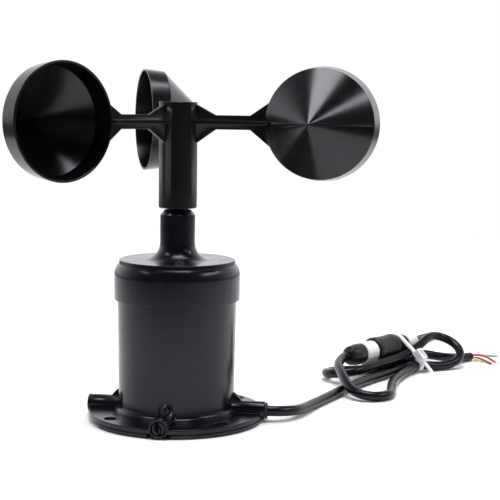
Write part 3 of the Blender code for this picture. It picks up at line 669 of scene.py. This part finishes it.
def make_housing():
    body = lathe("housing_moulding", rounded(body_outline(), 4, True), body_black, steps=128, closed=True)
    added = [lathe("boss", rounded(boss_outline(angle > 0.0)), body_black, outward_frame(angle, BOSS_Z), 72)
             for angle in BOSS_ANGLES]
    added += [cylinder("post", POST_R, FLANGE_BOTTOM, POST_TOP, body_black, on_circle(POST_CIRCLE_R, angle))
              for angle in POST_ANGLES]
    boolean(body, [joined(added)], "UNION")
    outline = [(BOSS_ROOT_R, RIB_FOOT_Z), (31.0, RIB_FOOT_Z), (30.2, 9.2), (28.4, 11.2), (27.0, RIB_TOP_Z),
               (BOSS_ROOT_R, RIB_TOP_Z)]
    ribs = [prism("rib", outline, -RIB_THICK / 2, RIB_THICK / 2, body_black, radial_frame(angle), edge=0.2)
            for angle in BOSS_ANGLES]
    boolean(body, [joined(ribs)], "UNION")
    cuts = hole_cutters(body_black)
    cuts.append(cylinder("bore", BOSS_BORE_R, 20.0, 50.0, body_black, outward_frame(BOSS_ANGLES[0], BOSS_Z)))
    cuts += [cylinder("pocket", BOSS_BORE_R + 0.3, BOSS_END - 6.0, BOSS_END + 5.0, body_black,
                      outward_frame(angle, BOSS_Z)) for angle in BOSS_ANGLES[1:]]
    for angle in POST_ANGLES:
        spot = on_circle(POST_CIRCLE_R, angle)
        cuts.append(cylinder("pilot_low", PILOT_R, -1.0, 10.0, body_black, spot, 24))
        cuts.append(cylinder("pilot_high", PILOT_R, 43.0, 60.0, body_black, spot, 24))
    boolean(body, [joined(cuts)], "DIFFERENCE")
    keep(body, BASE, "black_plastic", "housing")


def make_bottom_plate():
    """Flat plate under the flange, notched round the bosses and cut back on its left side."""
    line = rounded([(0.0, 0.0), (FLANGE_R, 0.0, 0.4), (FLANGE_R, PLATE_TOP, 0.25), (0.0, PLATE_TOP)])
    plate = lathe("bottom_plate_moulding", line, body_black, steps=128)
    size, centre = (24.0, 2 * BOSS_R + 1.0, 10.0), (37.0, 0.0, 0.0)
    notches = [block("notch", size, centre, body_black, about_z(angle)) for angle in BOSS_ANGLES]
    boolean(plate, [joined(notches)], "DIFFERENCE")
    sector = arc((0.0, 0.0), 37.0, 138.0, 222.0, 40) + arc((0.0, 0.0), 60.0, 222.0, 138.0, 10)
    boolean(plate, [prism("edge_cut", sector, -5.0, 5.0, body_black)], "DIFFERENCE")
    sink = [(0.0, -3.0), (3.1, -3.0), (3.1, 0.9), (1.5, 1.6), (1.5, 6.0), (0.0, 6.0)]
    sinks = [lathe("sink", sink, body_black, on_circle(POST_CIRCLE_R, angle), 40) for angle in POST_ANGLES]
    boolean(plate, [joined(hole_cutters(body_black) + sinks)], "DIFFERENCE")
    keep(plate, BASE, "black_plastic", "bottom_plate")


def make_plate_screws():
    """Countersunk screws with a cross recess, under the base."""
    line = rounded([(0.0, 0.2), (2.7, 0.2, 0.12), (2.7, 0.6, 0.12), (1.05, 1.35), (1.05, 8.5), (0.0, 9.0)])
    for index, angle in enumerate(POST_ANGLES):
        spot = on_circle(POST_CIRCLE_R, angle)
        screw = lathe("plate_screw_steel_%d" % (index + 1), line, steel, spot, 48)
        for quarter in (0.0, 90.0):
            bar_frame = spot @ about_z(quarter + 20.0 * index)
            bar = block("recess", (3.0, 0.75, 1.6), (0.0, 0.0, 0.2), steel, bar_frame)
            boolean(screw, [bar], "DIFFERENCE")
        keep(screw, BASE, "steel", "plate_screw_%d" % (index + 1))


def make_port_plugs():
    """Slotted blanking plugs, set just inside three of the bosses."""
    root, face = BOSS_END - 5.7, BOSS_END - 0.4
    line = rounded([(0.0, root), (BOSS_BORE_R, root), (BOSS_BORE_R, face, 0.35), (0.0, face)])
    for angle, node in zip(BOSS_ANGLES[1:], ("port_plug_rear", "port_plug_left", "port_plug_front")):
        at = outward_frame(angle, BOSS_Z)
        plug = lathe(node + "_slotted", line, body_black, at, 48)
        slot = block("slot", (9.0, 1.2, 3.0), (0.0, 0.0, BOSS_END), body_black, at @ about_z(15.0))
        boolean(plug, [slot], "DIFFERENCE")
        keep(plug, BASE, "black_plastic", node)


def make_grommet():
    """Rubber ring in the cable boss, with a collar outside it."""
    inner, outer, collar = CABLE_R + 0.15, BOSS_BORE_R - 0.05, 3.8
    line = rounded([(inner, 36.0), (outer, 36.0), (outer, BOSS_END + 0.3), (collar, BOSS_END + 0.3, 0.15),
                    (collar, BOSS_END + 1.0, 0.4), (inner, BOSS_END + 1.0, 0.2)], 3, True)
    at = outward_frame(BOSS_ANGLES[0], BOSS_Z)
    ring = lathe("cable_grommet_ring", line, rubber_black, at, 64, closed=True)
    keep(ring, BASE, "black_rubber", "cable_grommet")


def make_top_cover():
    """Skirt, rounded shoulder and disc with the neck. Inside are the bearing seats and the rim groove."""
    shoulder = arc((SKIRT_R - SHOULDER_R, SHOULDER_Z), SHOULDER_R, 0.0, 36.0, 14)
    flare = arc((NECK_R + FLARE_R, DISC_Z + FLARE_R), FLARE_R, 270.0, 180.0, 18)
    line = ([(27.2, SKIRT_Z, 0.2), (SKIRT_R - 0.1, SKIRT_Z, 0.35)] + shoulder
            + [(DISC_R + 0.2, DISC_Z - 1.75, 0.4), (DISC_R, DISC_Z, 0.35)] + flare
            + [(NECK_R - 0.05, 93.2, 0.2), (NECK_TIP_R, NECK_TOP, 0.2), (5.8, NECK_TOP, 0.1), (5.8, 89.9),
               (4.5, 89.9), (4.5, 78.5), (5.8, 78.5), (5.8, 68.6), (8.6, 68.6), (8.6, 71.0), (24.2, 71.0),
               (24.2, 68.1), (26.4, 68.1), (27.2, 66.6)])
    cover = lathe("top_cover_moulding", rounded(line, 4, True), body_black, steps=144, closed=True)
    keep(cover, BASE, "black_plastic", "top_cover")


# Rotor ------------------------------------------------------------------------------------------------

def cup_frame(angle):
    """Local +Z runs from the rim plane to the tip of the cone."""
    to_tip = about_z(angle) @ Matrix.Rotation(math.radians(90.0), 4, "X")
    centre = placed((CUP_CIRCLE_R, CUP_FORWARD, 0.0))
    return placed((0.0, 0.0, ARM_Z)) @ about_z(angle) @ centre @ about_z(-angle) @ to_tip


def make_hub():
    """Hub sleeve with three arms, each an upright web with a level rib."""
    seat = HUB_TOP - 2.4
    line = [(4.3, HUB_BOTTOM, 0.2), (HUB_R, HUB_BOTTOM, 0.6), (HUB_R, HUB_TOP, 0.4), (7.4, HUB_TOP, 0.25),
            (7.4, seat), (5.4, seat), (5.4, 124.0), (1.8, 124.0), (1.8, 121.0), (4.3, 121.0)]
    hub = lathe("rotor_hub_with_arms", rounded(line, 4, True), hub_black, steps=96, closed=True)
    low, high = ARM_Z - ARM_HALF_H, ARM_Z + ARM_HALF_H
    web_line = [(7.9, 142.9), (8.7, 142.6), (17.5, high), (33.3, high), (43.4, 144.8), (46.0, 144.8),
                (46.0, 123.6), (43.4, 123.6), (33.3, low), (17.5, low), (8.7, 125.5), (7.9, 125.1)]
    rib_line = [(6.5, -4.1), (6.5, 4.1), (9.0, 4.1), (17.5, 2.3), (33.3, 2.3), (37.5, 3.2), (45.3, 3.2),
                (45.3, -9.2), (43.0, -8.6), (33.3, -2.3), (17.5, -2.3), (9.0, -4.1)]
    webs = [prism("web", web_line, -WEB_THICK / 2, WEB_THICK / 2, hub_black, radial_frame(angle), edge=0.25)
            for angle in ROTOR_ANGLES]
    bottom, top = ARM_Z - RIB_HALF_H, ARM_Z + RIB_HALF_H
    ribs = [prism("level_rib", rib_line, bottom, top, hub_black, about_z(angle), edge=0.2)
            for angle in ROTOR_ANGLES]
    boolean(hub, [joined(webs)], "UNION")
    boolean(hub, [joined(ribs)], "UNION")
    rim, band = CUP_RIM_R + CUP_CLEARANCE, CUP_BAND_R + CUP_CLEARANCE
    room = [(0.0, CUP_BAND + CUP_CONE + 0.4), (band, CUP_BAND + CUP_CLEARANCE), (rim, 0.0), (rim, -6.0),
            (0.0, -6.0)]
    cutters = [lathe("cup_room", room, hub_black, cup_frame(angle), 128) for angle in ROTOR_ANGLES]
    boolean(hub, [joined(cutters)], "DIFFERENCE")
    keep(hub, ROTOR, "rotor_plastic", "rotor_hub")


def parting_line(angle, side):
    """Thin mould line down one side of a cup's cone, level with the arms."""
    tip, foot = Vector((0.5, CUP_BAND + CUP_CONE - 0.5)), Vector((CUP_BAND_R, CUP_BAND))
    start, end = tip.lerp(foot, 0.05), tip.lerp(foot, 0.96)
    out = Vector((tip.y - foot.y, foot.x - tip.x)).normalized()
    corners = (start + out * SEAM_HEIGHT, end + out * SEAM_HEIGHT,
               end - out * SEAM_DEPTH, start - out * SEAM_DEPTH)
    outline = [(side * c.x, c.y) for c in corners]
    return prism("parting_line", outline, -SEAM_WIDTH / 2, SEAM_WIDTH / 2, rotor_black,
                 cup_frame(angle) @ radial_frame(0.0))


def make_cups():
    """Thin cups: rim, short band, then a straight cone to a rounded tip."""
    tip = CUP_BAND + CUP_CONE
    slope = CUP_WALL * math.sqrt(2.0)
    line = [(0.0, tip - 0.25), (0.5, tip - 0.5, 0.3), (CUP_BAND_R, CUP_BAND, 0.7), (CUP_RIM_R, 0.0, 0.35),
            (CUP_RIM_R - CUP_WALL, 0.0, 0.35), (CUP_BAND_R - CUP_WALL, CUP_BAND, 0.5),
            (0.4, tip - slope - 0.4, 0.3), (0.0, tip - slope - 0.3)]
    for index, angle in enumerate(ROTOR_ANGLES):
        cup = lathe("cup_shell_%d" % (index + 1), rounded(line, 5), rotor_black, cup_frame(angle), 160,
                    angle=CONE_ANGLE)
        boolean(cup, [parting_line(angle, 1.0)], "UNION")
        boolean(cup, [parting_line(angle, -1.0)], "UNION")
        keep(cup, ROTOR, "rotor_plastic", "cup_%d" % (index + 1))


def make_hub_cap():
    """Round cap in the top of the hub, with a shallow dish."""
    under, rim, dish = HUB_TOP - 2.1, HUB_TOP - 0.2, HUB_TOP - 0.45
    line = rounded([(0.0, under), (7.25, under), (7.25, rim, 0.25), (5.2, rim, 0.2), (4.9, dish, 0.2),
                    (0.0, dish)])
    cap = lathe("hub_cap_disc", line, rotor_black, steps=72)
    keep(cap, ROTOR, "rotor_plastic", "hub_cap")


def keep(piece, body, slot_name, *nodes):
    """Gives a visible piece its body and the CAD nodes it stands for. Its slot name is not used."""
    weigh(piece)
    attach(piece, body)
    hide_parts(*nodes)


INSIDE = (
    (steel, ("upper_bearing_outer_ring", "upper_bearing_inner_ring", "lower_bearing_outer_ring",
             "lower_bearing_inner_ring", "rotor_shaft", "retaining_ring", "rotor_screw", "board_screw_1",
             "board_screw_2", "board_screw_3")),
    (brass, ("bearing_spacer",)),
    # Brass insert painted near black, as painted shade in the gap under the hub
    (insert_painted_gap_shade, ("hub_insert",)),
    (magnet_grey, ("ring_magnet",)),
    (body_black, ("magnet_carrier",)),
    (rubber_black, ("cover_gasket",)),
    (jacket_black, ("inner_lead",)),
    (board_green, ("circuit_board",)),
    (chip_black, ("hall_sensor", "controller_chip")),
    (terminal_green, ("terminal_block",)),
)


def paint_inside():
    """The pieces inside keep their CAD shape and get their finishes."""
    for material, names in INSIDE:
        for name in names:
            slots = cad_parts[name].data.materials
            slots.clear()
            slots.append(material)


# Floor and light ----------------------------------------------------------------------------------------

def make_floor():
    material, nodes, links, shader = shader_material("floor_white")
    coordinates = nodes.new("ShaderNodeTexCoord").outputs["Object"]
    patches = noise(nodes, links, coordinates, 3.0, 3.0)
    colour = tint(nodes, links, patches, (0.93, 0.93, 0.93), (0.95, 0.95, 0.95))
    links.new(colour, shader.inputs["Base Color"])
    links.new(spread(nodes, links, patches, (0.85, 0.95)), shader.inputs["Roughness"])
    shader.inputs["Specular IOR Level"].default_value = 0.1
    bm = bmesh.new()
    bmesh.ops.create_circle(bm, cap_ends=True, segments=96, radius=FLOOR_R,
                            matrix=Matrix.Translation(FLOOR_CENTRE))
    mesh = bpy.data.meshes.new("floor")
    bm.to_mesh(mesh)
    bm.free()
    mesh.materials.append(material)
    link("floor", mesh)


def multiply(nodes, links, first, second):
    node = nodes.new("ShaderNodeMath")
    node.operation = "MULTIPLY"
    links.new(first, node.inputs[0])
    links.new(second, node.inputs[1])
    return node.outputs["Value"]


def make_world():
    """Plain white room to look at. It lights the object mostly from behind, where the backdrop is lit."""
    world = bpy.data.worlds.new("studio")
    world.use_nodes = True
    nodes = world.node_tree.nodes
    links = world.node_tree.links
    seen = nodes["Background"]
    seen.inputs["Color"].default_value = (1.0, 1.0, 1.0, 1.0)
    seen.inputs["Strength"].default_value = 1.0
    direction = nodes.new("ShaderNodeTexCoord").outputs["Generated"]
    facing = nodes.new("ShaderNodeVectorMath")
    facing.operation = "DOT_PRODUCT"
    facing.inputs[1].default_value = TOWARDS_BACKDROP
    links.new(direction, facing.inputs[0])
    height = nodes.new("ShaderNodeSeparateXYZ")
    links.new(direction, height.inputs["Vector"])
    backdrop = spread(nodes, links, facing.outputs["Value"], (ROOM_DARK, BACKDROP), (-0.45, 0.75),
                      "SMOOTHSTEP")
    overhead = spread(nodes, links, height.outputs["Z"], (1.0, 0.15), (0.3, 0.85), "SMOOTHSTEP")
    below = spread(nodes, links, height.outputs["Z"], (0.16, 1.0), (-0.06, 0.03))
    lit = nodes.new("ShaderNodeBackground")
    lit.inputs["Color"].default_value = (0.975, 0.965, 1.0, 1.0)
    strength = multiply(nodes, links, backdrop, multiply(nodes, links, overhead, below))
    links.new(strength, lit.inputs["Strength"])
    mix = nodes.new("ShaderNodeMixShader")
    links.new(nodes.new("ShaderNodeLightPath").outputs["Is Camera Ray"], mix.inputs["Fac"])
    links.new(lit.outputs["Background"], mix.inputs[1])
    links.new(seen.outputs["Background"], mix.inputs[2])
    links.new(mix.outputs["Shader"], nodes["World Output"].inputs["Surface"])
    bpy.context.scene.world = world


def soft_box(name, direction, distance, width, length, radiance, mirrored=True):
    """A rectangular lamp aimed at the object's middle, its long side running front to back.

    Radiance is the brightness of its face, so its power grows with its area.
    """
    data = bpy.data.lights.new(name, "AREA")
    data.shape = "RECTANGLE"
    data.size = width
    data.size_y = length
    data.energy = radiance * math.pi * width * length
    lamp = link(name, data)
    away = Vector(direction).normalized()
    across = Vector((0.0, 1.0, 0.0)).cross(away).normalized()
    lamp.matrix_world = axes(across, away.cross(across), away, LAMP_TARGET + away * distance)
    lamp.visible_camera = False
    lamp.visible_glossy = mirrored


make_camera()
make_cables()
make_housing()
make_bottom_plate()
make_plate_screws()
make_port_plugs()
make_grommet()
make_top_cover()
make_hub()
make_cups()
make_hub_cap()
paint_inside()
make_floor()
make_world()
soft_box("soft_box_right", (0.80, -0.05, 0.60), 0.85, 0.14, 0.50, 9.0)
soft_box("soft_box_left", (-0.58, -0.33, 0.74), 0.85, 0.26, 0.32, 7.0)
soft_box("soft_box_top", (0.06, -0.02, 0.998), 0.90, 0.48, 0.50, 9.0)
soft_box("fill", (0.0, 0.45, 1.0), 1.7, 2.2, 2.2, 1.2, mirrored=False)

bpy.context.scene.view_settings.view_transform = "Standard"

bpy.context.view_layer.update()
